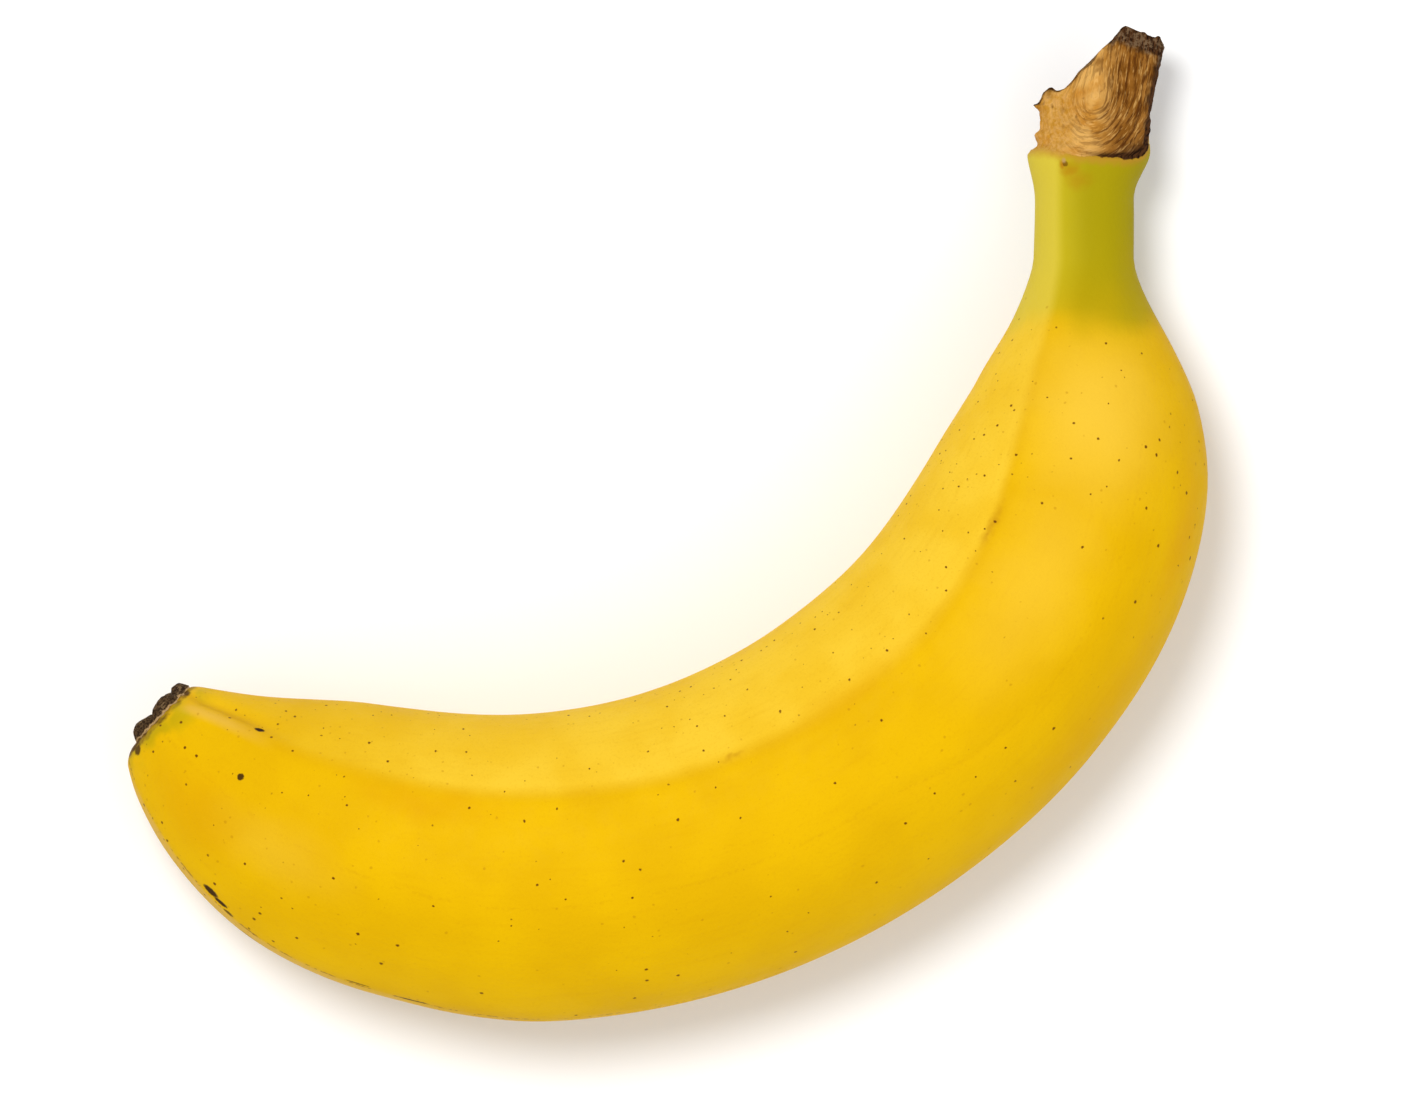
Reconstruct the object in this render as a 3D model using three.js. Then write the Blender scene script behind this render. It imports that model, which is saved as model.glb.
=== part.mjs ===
// A ripe banana: one whole fruit with the torn remnant of its crown, lying on its side.
//
// Millimetres and degrees. +Z is up and the fruit's bend lies flat, parallel to the XY plane.
// The origin is on the resting surface, under the middle of the fruit's box.
//
// The fruit is one loft. Its rings follow a centreline made of arcs, from the dried tip round the
// body to the neck, the collar and the torn crown. A station is a distance along that centreline,
// counted from the rim of the tip.
import * as THREE from "three";

// ---------- lengths along the centreline ----------
const bodyLength = 147.3; // from the rim of the tip to the foot of the neck
const neckLength = 30.2; // from the foot of the neck to the collar
const tipTaper = 70.6; // over which the body swells from the tip to its full width
const shoulderLength = 80; // over which the body narrows, up to the foot of the neck
const neckTaper = 16.5; // from the foot of the neck to its narrowest place
const flareLength = 5.6; // over which the neck widens into the collar
const lipLength = 1.5; // of the collar at its full width
const crustHeight = 1.9; // dried flower remains that stand out of the tip

// ---------- widths (in the plane of the bend) and depths (square to it) ----------
const bodyWidth = 37.6;
const bodyDepth = 35.8;
const tipWidth = 11.5;
const tipDepth = 11.3;
const crustWidth = 9.4;
const neckWidth = 12;
const neckDepth = 11.6;
const collarWidth = 14.75;
const collarDepth = 13.8;
const crownTopDepth = 8.5;

// How blunt the curves between those widths are: 1 is a straight taper.
const tipBluntness = 3.67;
const shoulderBluntness = 7.15;
const neckBluntness = 1.74;

// ---------- the torn crown above the collar ----------
const crownOuterHeight = 14.2; // left standing on the outer side of the bend
const crownInnerHeight = 6.6; // left standing on the inner side
const tearSlope = 49; // of the torn edge between the two
const crownLean = 9; // outwards, away from the inside of the bend
const collarShift = 0.9; // of the collar's middle, outwards from the neck's

// ---------- how the fruit bends and lies ----------
const tipHeading = -44.15; // direction of the centreline at the tip, from +X
const bodyArcs = [
  // each arc's share of the body's length, and how far it turns
  { share: 0.128, turn: 16.6 },
  { share: 0.25, turn: 34.1 },
  { share: 0.336, turn: 35.8 },
  { share: 0.286, turn: 44.6 },
];
const neckTurn = 6;
const tipDroop = 5.3; // the tip and the neck hang a little lower than the body
const neckDroop = 7;
const restingFlat = 0.4; // how far the underside is pressed flat by the fruit's weight

// ---------- the five ridges of the skin ----------
// Angles around the centreline, from the inside of the bend towards +Z.
const ridgeAngles = [65, 116, 172, 238, 312];
const ridgeTwist = -12; // of all the ridges at the tip, against the middle of the body
const twistLength = 45; // over which that twist fades
const tipFlatness = 0.12; // 0 is round between the ridges, 1 is flat
const bodyFlatness = 0.22;
const neckFlatness = 0.45;

// ---------- mesh ----------
const facetSteps = 8; // around the fruit, between one ridge and the next
const bodyRings = 40;
const neckRings = 11;
const crownRings = 5;
const tipCrowding = 0.3; // 0 spaces the rings evenly
const collarCrowding = 0.6;

const radians = THREE.MathUtils.degToRad;
const { clamp, lerp, smoothstep } = THREE.MathUtils;

const collarStation = bodyLength + neckLength;
const waistStation = bodyLength + neckTaper;

// ---------- centreline ----------
const arcs = bodyArcs.map(({ share, turn }) => ({ length: share * bodyLength, turn }));
arcs.push({ length: neckLength, turn: neckTurn });

// The centreline's point and heading at a station, with the rim of the tip at the XY origin.
function centreline(station) {
  let [x, y, heading, left] = [0, 0, radians(tipHeading), station];
  for (const { length, turn } of arcs) {
    const step = Math.min(left, length);
    const curvature = radians(turn) / length;
    const next = heading + curvature * step;
    x += (Math.sin(next) - Math.sin(heading)) / curvature;
    y -= (Math.cos(next) - Math.cos(heading)) / curvature;
    heading = next;
    left -= step;
    if (left <= 0) break;
  }
  return { x, y, heading };
}

// Height of the centreline above the resting surface.
function centreHeight(station) {
  const towardsTip = clamp(1 - station / (0.4 * bodyLength), 0, 1);
  const towardsNeck = clamp((station - 0.75 * bodyLength) / (0.5 * bodyLength), 0, 1);
  const droop = tipDroop * towardsTip ** 2 + neckDroop * towardsNeck ** 2;
  return bodyDepth / 2 - restingFlat - droop;
}

// ---------- widths and depths along the fruit ----------
// How far the neck has widened into the collar, from 0 to 1.
const flareAt = (station) =>
  smoothstep(station, collarStation - flareLength, collarStation - lipLength);

// A blunt swelling from the tip, a long even body, and a shoulder that runs into the neck.
function girth(station, tip, body, neck, collar) {
  const fromTip = clamp(station / tipTaper, 0, 1);
  const swollen = lerp(body, tip, (1 - fromTip) ** tipBluntness);
  const shoulderStart = bodyLength - shoulderLength;
  const along = clamp((station - shoulderStart) / (waistStation - shoulderStart), 0, 1);
  const narrowed = lerp(neck, swollen, (1 - along ** shoulderBluntness) ** neckBluntness);
  return lerp(narrowed, collar, flareAt(station));
}

const widthAt = (station) => girth(station, tipWidth, bodyWidth, neckWidth, collarWidth);
const depthAt = (station) => girth(station, tipDepth, bodyDepth, neckDepth, collarDepth);

function flatnessAt(station) {
  const body = lerp(tipFlatness, bodyFlatness, smoothstep(station, 0, twistLength));
  return lerp(body, neckFlatness, smoothstep(station, bodyLength - neckTaper, waistStation));
}

// ---------- the section ----------
// One turn around the ridges, as points in a box from -1 to 1. `inward` is towards the inside of
// the bend. Every ridge has a point of its own.
function unitSection(station) {
  const fade = clamp(1 - station / twistLength, 0, 1);
  const twist = ridgeTwist * fade ** 2;
  const flatness = flatnessAt(station);
  const points = [];
  ridgeAngles.forEach((ridge, i) => {
    const following = ridgeAngles[i + 1] ?? ridgeAngles[0] + 360;
    const halfGap = radians(following - ridge) / 2;
    for (let step = 0; step < facetSteps; step++) {
      const fromMiddle = halfGap * ((2 * step) / facetSteps - 1);
      const chord = Math.cos(halfGap) / Math.cos(fromMiddle);
      const radius = lerp(1, chord, flatness);
      const angle = radians(ridge + twist) + halfGap + fromMiddle;
      points.push({ inward: radius * Math.cos(angle), up: radius * Math.sin(angle) });
    }
  });
  return fitToBox(points);
}

function fitToBox(points) {
  const fitted = (key) => {
    const values = points.map((point) => point[key]);
    const [low, high] = [Math.min(...values), Math.max(...values)];
    return values.map((value) => (2 * value - high - low) / (high - low));
  };
  const inward = fitted("inward");
  const up = fitted("up");
  return points.map((_, i) => ({ inward: inward[i], up: up[i] }));
}

// ---------- rings ----------
// A ring is a closed list of points. It is placed on the centreline by `inward`, `up` and `ahead`,
// which are distances from the centreline's point at the ring's station.
function placeRing(station, offsets) {
  const { x, y, heading } = centreline(clamp(station, 0, collarStation));
  const [cos, sin] = [Math.cos(heading), Math.sin(heading)];
  const height = centreHeight(station);
  return offsets.map(
    ({ inward, up, ahead = 0 }) =>
      new THREE.Vector3(
        x + ahead * cos - inward * sin,
        y + ahead * sin + inward * cos,
        Math.max(height + up, 0),
      ),
  );
}

function skinRing(station) {
  const halfWidth = widthAt(station) / 2;
  const halfDepth = depthAt(station) / 2;
  const shift = collarShift * flareAt(station);
  const offsets = unitSection(station).map(({ inward, up }) => ({
    inward: inward * halfWidth - shift,
    up: up * halfDepth,
  }));
  return placeRing(station, offsets);
}

// A ring of the dried crust in front of the tip's rim: `share` of its full width and height.
function crustRing(widthShare, heightShare) {
  const offsets = unitSection(0).map(({ inward, up }) => ({
    inward: (inward * crustWidth * widthShare) / 2,
    up: (up * crustWidth * widthShare) / 2,
    ahead: -crustHeight * heightShare,
  }));
  return placeRing(0, offsets);
}

// How much of the crown is left above the collar, at a distance inwards from the neck's middle.
function tornHeight(inward) {
  const ledge = collarWidth / 4;
  const slope = Math.tan(radians(tearSlope));
  return clamp(crownInnerHeight + (ledge - inward) * slope, crownInnerHeight, crownOuterHeight);
}

// A ring of the crown at a share of its height. The last one lies in the torn face.
function crownRing(share) {
  const halfDepth = lerp(collarDepth, crownTopDepth, share) / 2;
  const offsets = unitSection(collarStation).map(({ inward, up }) => {
    const base = (inward * collarWidth) / 2 - collarShift;
    const ahead = tornHeight(base) * share;
    return { inward: base - ahead * Math.tan(radians(crownLean)), up: up * halfDepth, ahead };
  });
  return placeRing(collarStation, offsets);
}

// ---------- the fruit ----------
const steps = (count, from, to) =>
  Array.from({ length: count }, (_, i) => lerp(from, to, i / (count - 1)));

// Rings crowd towards the tip, where the body swells fastest, and towards the collar's flare.
const bodyStations = steps(bodyRings, 0, 1).map((t) => bodyLength * lerp(t, t ** 2, tipCrowding));
const neckStations = steps(neckRings, 0, 1)
  .slice(1)
  .map((t) => bodyLength + neckLength * lerp(t, 1 - (1 - t) ** 2, collarCrowding));
const crownShares = steps(crownRings, 0, 1).slice(1);

const rings = [
  crustRing(0.7, 1),
  crustRing(0.95, 0.8),
  crustRing(1, 0.15),
  ...bodyStations.map(skinRing),
  ...neckStations.map(skinRing),
  ...crownShares.map(crownRing),
];

// Joins the rings side by side and closes both ends with a fan to the end ring's middle.
function loft(allRings) {
  const around = allRings[0].length;
  const middle = (ring) =>
    ring.reduce((sum, point) => sum.add(point), new THREE.Vector3()).divideScalar(around);
  const firstMiddle = allRings.length * around;
  const points = [...allRings.flat(), middle(allRings[0]), middle(allRings.at(-1))];
  const lastRing = (allRings.length - 1) * around;
  const triangles = [];
  for (let i = 0; i < around; i++) {
    const next = (i + 1) % around;
    triangles.push(firstMiddle, next, i);
    triangles.push(firstMiddle + 1, lastRing + i, lastRing + next);
    for (let start = 0; start < lastRing; start += around) {
      const [a, b] = [start + i, start + next];
      triangles.push(a, b, b + around, a, b + around, a + around);
    }
  }
  return new THREE.BufferGeometry().setFromPoints(points).setIndex(triangles);
}

const geometry = loft(rings);
geometry.computeBoundingBox();
const middle = geometry.boundingBox.getCenter(new THREE.Vector3());
geometry.translate(-middle.x, -middle.y, 0);
geometry.computeVertexNormals();

const peel = new THREE.MeshStandardMaterial({ color: 0xf3c21e, roughness: 0.55, metalness: 0 });
const banana = new THREE.Mesh(geometry, peel);
banana.name = "banana";

const fruit = new THREE.Group();
fruit.add(banana);

export default fruit;
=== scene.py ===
"""The looks of a ripe banana that lies on its side: its fine shape, its skin and its torn crown.

The fruit is one closed mesh of rings. They run from the dried tip along the bent body to the neck
and the torn crown. Lengths are millimetres until the mesh is made. Three directions are used all
through: `ahead` runs along the centreline towards the crown, `inward` points to the inside of the
bend, and `up` is +Z. A station is a distance along the centreline from the rim of the tip. Angles
around the fruit start on the inside of the bend and turn towards +Z.
"""

import math
from dataclasses import dataclass, fields

import bpy
import numpy as np
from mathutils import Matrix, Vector, noise


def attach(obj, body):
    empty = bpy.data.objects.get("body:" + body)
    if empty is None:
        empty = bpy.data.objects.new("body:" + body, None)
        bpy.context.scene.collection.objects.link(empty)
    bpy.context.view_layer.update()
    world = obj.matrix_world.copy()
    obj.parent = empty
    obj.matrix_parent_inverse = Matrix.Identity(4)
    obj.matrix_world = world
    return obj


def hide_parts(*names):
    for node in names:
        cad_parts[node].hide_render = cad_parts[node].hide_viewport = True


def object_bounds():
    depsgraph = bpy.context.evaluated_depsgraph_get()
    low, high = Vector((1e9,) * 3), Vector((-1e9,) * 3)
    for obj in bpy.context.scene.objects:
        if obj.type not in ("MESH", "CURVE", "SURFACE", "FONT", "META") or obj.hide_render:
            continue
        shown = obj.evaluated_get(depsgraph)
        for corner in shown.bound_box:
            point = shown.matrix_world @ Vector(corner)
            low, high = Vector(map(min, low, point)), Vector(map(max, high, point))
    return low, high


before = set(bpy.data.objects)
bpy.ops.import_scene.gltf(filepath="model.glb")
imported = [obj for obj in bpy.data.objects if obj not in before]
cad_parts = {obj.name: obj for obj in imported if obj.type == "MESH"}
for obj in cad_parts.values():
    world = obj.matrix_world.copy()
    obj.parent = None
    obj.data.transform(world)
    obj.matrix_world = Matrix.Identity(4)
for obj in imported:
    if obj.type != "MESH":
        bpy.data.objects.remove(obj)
CAD_LOW, CAD_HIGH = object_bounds()

MM = 0.001

# ---------- sizes of the fruit ----------
BODY_LENGTH = 147.3
NECK_LENGTH = 30.2
TIP_TAPER = 70.6
SHOULDER_LENGTH = 80
NECK_TAPER = 16.5
TIP_BLUNTNESS = 3.67
SHOULDER_BLUNTNESS = 7.15
SHOULDER_EASE = 1.74
WIDTHS = {"tip": 11.5, "body": 37.6, "neck": 12, "collar": 14.75}
DEPTHS = {"tip": 11.3, "body": 35.8, "neck": 11.6, "collar": 13.8}
TIP_DROOP = 5.3
NECK_DROOP = 7
# The tip hangs over this share of the body's length, and the neck past this share of it.
TIP_DROOP_SHARE = 0.4
NECK_DROOP_START = 0.75
NECK_DROOP_SHARE = 0.5
RESTING_FLAT = 0.4

CRUST_HEIGHT = 1.45
CRUST_SHIFT = 0.35
RIM_LENGTH = 1.3
RIM_TUCK = 1.05
FLARE_LENGTH = 7
FLARE_RISE = 1.25
LIP_LENGTH = 0.8
LIP_TUCK = 0.5
COLLAR_SHIFT = 0.9
CROWN_STEP = 1.0
CROWN_LEAN = 0.041
CROWN_LEAN_POWER = 1.66
CROWN_TOP_DEPTH = 8.5
TORN_EDGE_EASE = 0.012

COLLAR_STATION = BODY_LENGTH + NECK_LENGTH
WAIST_STATION = BODY_LENGTH + NECK_TAPER
SHOULDER_STATION = BODY_LENGTH - SHOULDER_LENGTH

# ---------- how it bends: each arc's length and turn in degrees ----------
TIP_HEADING = -44.15
ARCS = (
    (0.128 * BODY_LENGTH, 16.6),
    (0.25 * BODY_LENGTH, 34.1),
    (0.336 * BODY_LENGTH, 35.8),
    (0.286 * BODY_LENGTH, 44.6),
    (NECK_LENGTH, 6),
)

# ---------- how far the skin stands out from that even form, on both sides of the bend ----------
INNER_SWELL = (
    (0, -0.3),
    (7, -0.7),
    (12, -0.5),
    (21, 0.15),
    (45, -0.1),
    (68, -0.2),
    (97, 0.25),
    (120, 0.2),
    (148, -0.1),
    (155, -0.5),
    (162, 0.4),
    (173, -0.1),
    (177, 0.3),
)
OUTER_SWELL = (
    (0, 0.4),
    (3, 0.85),
    (22, 0.6),
    (37, -0.3),
    (50, 0.45),
    (85, 0.2),
    (114, -0.5),
    (140, 0.35),
    (158, -0.25),
    (169, 0.1),
    (177, 0.1),
)
SWELL_EASE = 3  # mm over which each swell rounds off

# ---------- the five ridges, each as (station, angle) where it wanders ----------
RIDGES = (
    ((0, 58), (5, 55), (16, 65), (50, 65), (98, 72), (128, 70), (142, 66), (178, 63)),
    ((0, 98), (45, 106), (93, 108), (109, 120), (178, 118)),
    ((0, 156), (8, 151), (18, 155), (31, 158), (60, 166), (100, 171), (178, 174)),
    ((0, 226), (45, 238), (178, 238)),
    ((0, 300), (45, 312), (178, 312)),
)
NEAR_RIDGE, FAINT_RIDGE, LOW_RIDGE, HIDDEN_RIDGE, FAR_RIDGE = range(5)
RIDGE_EASE = 5  # mm over which a ridge bends where it wanders
# How flat the facets are between the ridges, and how crisp the ridges: (station, value).
FLATNESS = ((0, 0.2), (12, 0.3), (45, 0.26), (120, 0.24), (150, 0.36), (172, 0.4), (178, 0.2))
CRISPNESS = ((0, 26), (25, 22), (60, 11), (125, 10), (150, 9), (178, 7))

# How far the inner facet's painted light (its lighter copy of the yellow) fades over its edges:
# (station, mm).
FACET_EDGE = ((0, 1), (25, 1.2), (110, 1.4), (128, 0.8), (160, 0.9), (178, 0.9))

# ---------- the tip's crust: (share of the radius, share of the height) ----------
CRUST_PROFILE = (
    (0, 0.3),
    (0.3, 0.32),
    (0.5, 0.6),
    (0.68, 1),
    (0.84, 0.86),
    (0.95, 0.5),
    (1, 0.12),
)
CRUST_LOBES = 5
LOBE_ANGLE = 2  # degrees that the lobes are turned by

# ---------- the crown's torn edge: (share of the way from its inner to its outer side, height) ----
TORN_EDGE = (
    (0, 5.6),
    (0.05, 5.8),
    (0.075, 6.9),
    (0.11, 7.5),
    (0.14, 7.55),
    (0.175, 7.1),
    (0.24, 7.25),
    (0.29, 8.0),
    (0.34, 9.2),
    (0.48, 11.3),
    (0.605, 13.4),
    (0.635, 14.4),
    (0.665, 14.65),
    (0.79, 13.7),
    (0.89, 12.95),
    (0.94, 12.9),
    (1, 11.6),
)
# How the crown's inner side is torn: (height, distance inward).
TORN_SIDE = ((0, 0), (0.9, 0.1), (1.7, 0.35), (2.6, -0.25), (4.6, -0.15), (5.4, 0.5), (5.9, 0.1))
# Where the skin ends in front of the collar, round the fruit: (angle, distance below the collar).
SKIN_END = (
    (0, 0),
    (35, 0.1),
    (75, 1.1),
    (105, 1.7),
    (142, 2.0),
    (160, 1.2),
    (176, -1.2),
    (190, -1.6),
    (215, 0.5),
    (360, 0),
)
FIBRE_CENTRE = (6.4, -1.7)  # ahead of the collar and inward: the fibres sweep round this point
FIBRE_LEAN = 0.16
FIBRE_BEND = 0.6  # the tightest bend of the fibres round that point
FIBRE_TOP = 19  # the fibres of the inner side lean towards a point this far ahead of the collar
# How fast the fibres' pattern changes along them, and through the crown, against across them.
FIBRE_STRETCH = 0.12
FIBRE_THROUGH = 0.14

# ---------- mesh density ----------
AROUND = 256
SEAM_ANGLE = 270
CROWN_RINGS = 112
# The skin's rings, which crowd where there is detail: (from, to, how many), up to the collar.
SKIN_RINGS = (
    (0, 1.3, 13),
    (1.3, 14, 28),
    (14, 165, 122),
    (165, 175, 30),
    (175, COLLAR_STATION, 19),
)


def lerp(low, high, share):
    return low + (high - low) * share


def smoothstep(low, high, value):
    share = np.clip((value - low) / (high - low), 0, 1)
    return share * share * (3 - 2 * share)


def window(start, full, fading, end, value):
    """Rises from 0 to 1 between start and full, and sinks to 0 between fading and end."""
    return smoothstep(start, full, value) * (1 - smoothstep(fading, end, value))


def bump(value, centre, width):
    """A soft hump of height 1 at centre that dies away within about twice the width."""
    return np.exp(-(((value - centre) / width) ** 2))


def along_points(points, value):
    """The value that a list of (place, value) points gives at each place, in straight steps."""
    places, values = zip(*points)
    return np.interp(value, places, values)


def eased(points, value, ease=RIDGE_EASE):
    """The same, with each corner rounded over about `ease` to both sides."""
    offsets = np.linspace(-1, 1, 9)
    weights = 1.05 - offsets**2
    total = sum(w * along_points(points, value + ease * o) for o, w in zip(offsets, weights))
    return total / weights.sum()


def field(points, size, octaves=1, shift=0.0):
    """Noise from about -1 to 1 at an array of points, with features of about `size`."""
    flat = (points.reshape(-1, 3) / size + shift).tolist()
    values = [noise.fractal(point, 1.0, 2.0, octaves) for point in flat]
    return np.array(values).reshape(points.shape[:-1])


# ---------- the fruit's overall form ----------
def centreline(station):
    """x, y and heading of the centreline at an array of stations, from the rim of the tip."""
    x = np.zeros_like(station)
    y = np.zeros_like(station)
    heading = np.full_like(station, math.radians(TIP_HEADING))
    left = station.copy()
    for length, turn in ARCS:
        step = np.clip(left, 0, length)
        curvature = math.radians(turn) / length
        following = heading + curvature * step
        x += (np.sin(following) - np.sin(heading)) / curvature
        y -= (np.cos(following) - np.cos(heading)) / curvature
        heading = following
        left = left - length
    return x, y, heading


def centre_height(station):
    """Height of the centreline above the surface that the fruit lies on."""
    towards_tip = np.clip(1 - station / (TIP_DROOP_SHARE * BODY_LENGTH), 0, 1)
    past_start = station - NECK_DROOP_START * BODY_LENGTH
    towards_neck = np.clip(past_start / (NECK_DROOP_SHARE * BODY_LENGTH), 0, 1)
    droop = TIP_DROOP * towards_tip**2 + NECK_DROOP * towards_neck**2
    return DEPTHS["body"] / 2 - RESTING_FLAT - droop


def flare(station):
    """How far the neck has widened into the collar, from 0 to 1."""
    widened = smoothstep(COLLAR_STATION - FLARE_LENGTH, COLLAR_STATION - LIP_LENGTH, station)
    return widened**FLARE_RISE


def girth(station, sizes):
    """A blunt swelling from the tip, an even body, and a shoulder that runs into the neck."""
    from_tip = np.clip(station / TIP_TAPER, 0, 1)
    swollen = lerp(sizes["body"], sizes["tip"], (1 - from_tip) ** TIP_BLUNTNESS)
    share = (station - SHOULDER_STATION) / (WAIST_STATION - SHOULDER_STATION)
    full = (1 - np.clip(share, 0, 1) ** SHOULDER_BLUNTNESS) ** SHOULDER_EASE
    narrowed = lerp(sizes["neck"], swollen, full)
    return lerp(narrowed, sizes["collar"], flare(station))


def turn_angles():
    return math.radians(SEAM_ANGLE) + np.arange(AROUND) * math.tau / AROUND


def unit_sections(station):
    """Sections with five rounded ridges, each in a box from -1 to 1: inward and up."""
    station = station[:, None]
    angle = turn_angles()[None, :]
    crispness = eased(CRISPNESS, station)
    ridges = [np.radians(eased(points, station)) for points in RIDGES]
    following = ridges[1:] + [ridges[0] + math.tau]
    reach = 0
    for ridge, after in zip(ridges, following):
        half_gap = (after - ridge) / 2
        facing = np.clip(np.cos(angle - ridge - half_gap), 0, None)
        reach = reach + (facing / np.cos(half_gap)) ** crispness
    polygon = reach ** (-1 / crispness)
    radius = lerp(1, polygon, eased(FLATNESS, station))
    return fit_to_box(radius * np.cos(angle)), fit_to_box(radius * np.sin(angle))


def fit_to_box(values):
    low = values.min(axis=1, keepdims=True)
    high = values.max(axis=1, keepdims=True)
    return (2 * values - low - high) / (high - low)


# ---------- rings ----------
CRUST, SKIN, CROWN, TORN = range(4)


@dataclass
class Rings:
    """Rings of points, each point given by its distances from its ring's point on the centreline."""

    station: np.ndarray
    inward: np.ndarray
    up: np.ndarray
    ahead: np.ndarray
    part: np.ndarray


def joined(all_rings):
    names = [entry.name for entry in fields(Rings)]
    return Rings(*[np.concatenate([getattr(rings, name) for rings in all_rings]) for name in names])


def rim_rounding(station):
    """1 at the rim of the tip, and 0 where its quarter round has run into the skin."""
    below = 1 - np.clip(station / RIM_LENGTH, 0, 1)
    return 1 - np.sqrt(1 - below**2)


def crust_rings():
    """The dried flower remains: five lobes round a shallow hollow, from the middle to the rim."""
    radius = np.concatenate([np.linspace(0.06, 0.6, 10), np.linspace(0.65, 1, 13)])
    station = np.zeros(len(radius))
    inward, up = unit_sections(station)
    turned = turn_angles() - math.radians(LOBE_ANGLE)
    lobes = np.abs(np.cos(CRUST_LOBES / 2 * turned))[None, :] ** 0.7
    edge = smoothstep(0.35, 0.8, radius)[:, None]
    height = CRUST_HEIGHT * eased(CRUST_PROFILE, radius, 0.04)[:, None]
    height = height * lerp(1, lerp(0.3, 1.15, lobes), edge)
    spread = radius[:, None] * (1 + 0.12 * edge * (lobes - 0.9))
    half_width = WIDTHS["tip"] / 2 - RIM_TUCK
    half_depth = DEPTHS["tip"] / 2 - RIM_TUCK
    return Rings(
        station=station,
        inward=inward * spread * half_width + CRUST_SHIFT,
        up=up * spread * half_depth,
        ahead=-height,
        part=np.full(inward.shape, CRUST),
    )


def skin_sections(station):
    """The peel's sections in mm: inward and up."""
    inward, up = unit_sections(station)
    rim = rim_rounding(station)[:, None]
    half_width = girth(station, WIDTHS)[:, None] / 2 - RIM_TUCK * rim
    half_depth = girth(station, DEPTHS)[:, None] / 2 - RIM_TUCK * rim
    inner_swell = eased(INNER_SWELL, station, SWELL_EASE)[:, None]
    outer_swell = eased(OUTER_SWELL, station, SWELL_EASE)[:, None]
    half_width = half_width + np.where(inward > 0, inner_swell, outer_swell) * (1 - rim)
    shift = CRUST_SHIFT * rim - COLLAR_SHIFT * flare(station)[:, None]
    lip = LIP_TUCK * smoothstep(COLLAR_STATION - LIP_LENGTH, COLLAR_STATION, station)[:, None]
    return inward * half_width + shift - lip * (1 + inward) / 2, up * half_depth


def skin_rings():
    """The peel, from the rim of the tip to the collar."""
    rows = [np.linspace(low, high, count, endpoint=False) for low, high, count in SKIN_RINGS]
    station = np.concatenate(rows)
    inward, up = skin_sections(station)
    return Rings(
        station=station,
        inward=inward,
        up=up,
        ahead=np.zeros_like(inward),
        part=np.full(inward.shape, SKIN),
    )


def crown_side(across, ahead):
    """How far inward the crown's surface is, for a share of the way across it."""
    half_width = WIDTHS["collar"] / 2
    step = lerp(LIP_TUCK, CROWN_STEP, smoothstep(0, 0.8, ahead))
    torn = eased(TORN_SIDE, ahead, 0.15) * (1 - smoothstep(0, 0.2, across))
    inner = half_width - COLLAR_SHIFT - step + torn
    outer = -half_width - COLLAR_SHIFT - CROWN_LEAN * ahead**CROWN_LEAN_POWER
    return lerp(inner, outer, across)


def crown_depth(share, across):
    """Half the crown's depth, which thins towards the tear and more towards the inside."""
    top = lerp(0.62, 1, smoothstep(0.1, 0.75, across)) * CROWN_TOP_DEPTH
    return lerp(DEPTHS["collar"], top, share**0.8) / 2


def hollowed(share, across, up):
    """The share of the depth that is left where the torn face is hollow behind its outer rim."""
    rise = smoothstep(0.12, 0.7, share)
    scoop = 0.5 * rise * smoothstep(0.05, 0.35, across) * (1 - smoothstep(0.76, 0.9, across))
    return 1 - np.where(up > 0, scoop, 0.4 * scoop)


def crown_rings():
    """The torn crown above the collar, from its foot to the torn edge."""
    share = np.linspace(0, 1, CROWN_RINGS)
    station = np.full(len(share), float(COLLAR_STATION))
    inward, up = unit_sections(station)
    across = (1 - inward) / 2
    share = share[:, None]
    ahead = share * eased(TORN_EDGE, across, TORN_EDGE_EASE)
    depth = crown_depth(share, across) * hollowed(share, across, up)
    return Rings(
        station=station,
        inward=crown_side(across, ahead),
        up=up * depth,
        ahead=ahead,
        part=np.full(inward.shape, CROWN),
    )


def torn_rings():
    """The narrow torn face on top of the crown, from its edge to its middle."""
    shrink = np.array([0.93, 0.82, 0.7, 0.58, 0.46, 0.35, 0.25, 0.16, 0.07])
    station = np.full(len(shrink), float(COLLAR_STATION))
    inward, up = unit_sections(station)
    shrink = shrink[:, None]
    across = lerp(0.5, (1 - inward) / 2, shrink)
    ahead = eased(TORN_EDGE, across, TORN_EDGE_EASE) - 0.5 * (1 - shrink**2)
    depth = crown_depth(1.0, across) * hollowed(1.0, across, up)
    return Rings(
        station=station,
        inward=crown_side(across, ahead),
        up=up * depth * shrink,
        ahead=ahead,
        part=np.full(inward.shape, TORN),
    )


def place(rings):
    """The rings' points in the fruit's frame, in mm, with the tip's rim at the XY origin."""
    x, y, heading = centreline(rings.station)
    cos = np.cos(heading)[:, None]
    sin = np.sin(heading)[:, None]
    height = centre_height(rings.station)[:, None] + rings.up
    return np.stack(
        [
            x[:, None] + rings.ahead * cos - rings.inward * sin,
            y[:, None] + rings.ahead * sin + rings.inward * cos,
            height,
        ],
        axis=-1,
    )


def surface_normals(points):
    ahead = np.gradient(points, axis=0)
    around = np.roll(points, -1, axis=1) - np.roll(points, 1, axis=1)
    normal = np.cross(around, ahead)
    return normal / np.maximum(np.linalg.norm(normal, axis=-1, keepdims=True), 1e-9)


# ---------- where each point is, in terms that the relief and the colours use ----------
def straight_places(rings):
    """Where each point would be if the fruit were straight: (ahead, inward, up)."""
    return np.stack([rings.station[:, None] + rings.ahead, rings.inward, rings.up], axis=-1)


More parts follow.
